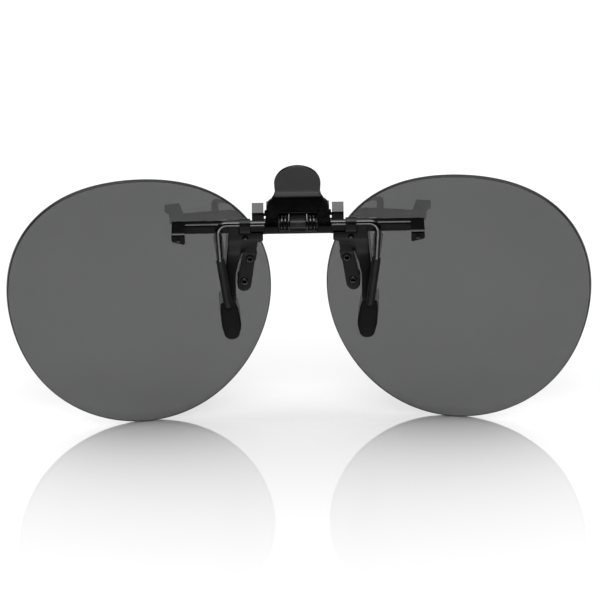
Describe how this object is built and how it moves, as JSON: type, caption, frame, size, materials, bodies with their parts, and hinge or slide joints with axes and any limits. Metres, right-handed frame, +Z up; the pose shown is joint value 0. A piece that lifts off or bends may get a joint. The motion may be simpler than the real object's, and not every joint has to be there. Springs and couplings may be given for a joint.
{
  "type": "clip on sunglasses",
  "caption": "Rimless tinted clip-on sunglasses: two rounded lenses on a sprung metal clip with a squeeze lever, top hooks, sleeved wire legs and rubber paddles.",
  "frame": {"origin": "middle of the front bar's front face, level with the squeeze hinge's axle (the axle lies 3.62 mm behind it)", "axes": "+X along the axle and the bar, +Y out of the bar's front face away from the wearer, +Z up towards the thumb tab"},
  "size_m": [0.1346, 0.0126, 0.0653],
  "materials": {
    "tinted_lens": "polished grey tinted polarised lens",
    "black_steel": "glossy black plated stamped steel",
    "lever_steel": "satin black plated stamped steel",
    "wire_steel": "glossy black plated spring wire",
    "spring_steel": "bright drawn spring wire, dark oiled",
    "rivet": "dark plated tubular rivet",
    "rubber": "smooth black dipped rubber",
    "vinyl": "soft black vinyl tube",
    "nylon": "black moulded nylon"
  },
  "bodies": {
    "front": {"front_bar": "black_steel", "left_bracket": "black_steel", "right_bracket": "black_steel", "left_bracket_rivet": "rivet", "right_bracket_rivet": "rivet", "left_lens": "tinted_lens", "right_lens": "tinted_lens", "left_lens_rivet_upper": "rivet", "left_lens_rivet_lower": "rivet", "right_lens_rivet_upper": "rivet", "right_lens_rivet_lower": "rivet", "left_lens_spacer_upper": "nylon", "left_lens_spacer_lower": "nylon", "right_lens_spacer_upper": "nylon", "right_lens_spacer_lower": "nylon", "left_lens_washer_upper": "nylon", "left_lens_washer_lower": "nylon", "right_lens_washer_upper": "nylon", "right_lens_washer_lower": "nylon", "left_paddle_cover": "rubber", "right_paddle_cover": "rubber"},
    "clamp": {"lever": "lever_steel", "clamp_wire": "wire_steel", "left_wire_sleeve": "vinyl", "right_wire_sleeve": "vinyl", "spring_arbor": "nylon", "torsion_spring": "spring_steel"}
  },
  "joints": [
    {"name": "squeeze_hinge", "type": "hinge", "parent": "front", "child": "clamp", "pos_m": [0, -0.00362, 0], "axis": [-1, 0, 0], "range_deg": [0, 26], "deforming": ["torsion_spring"]}
  ]
}
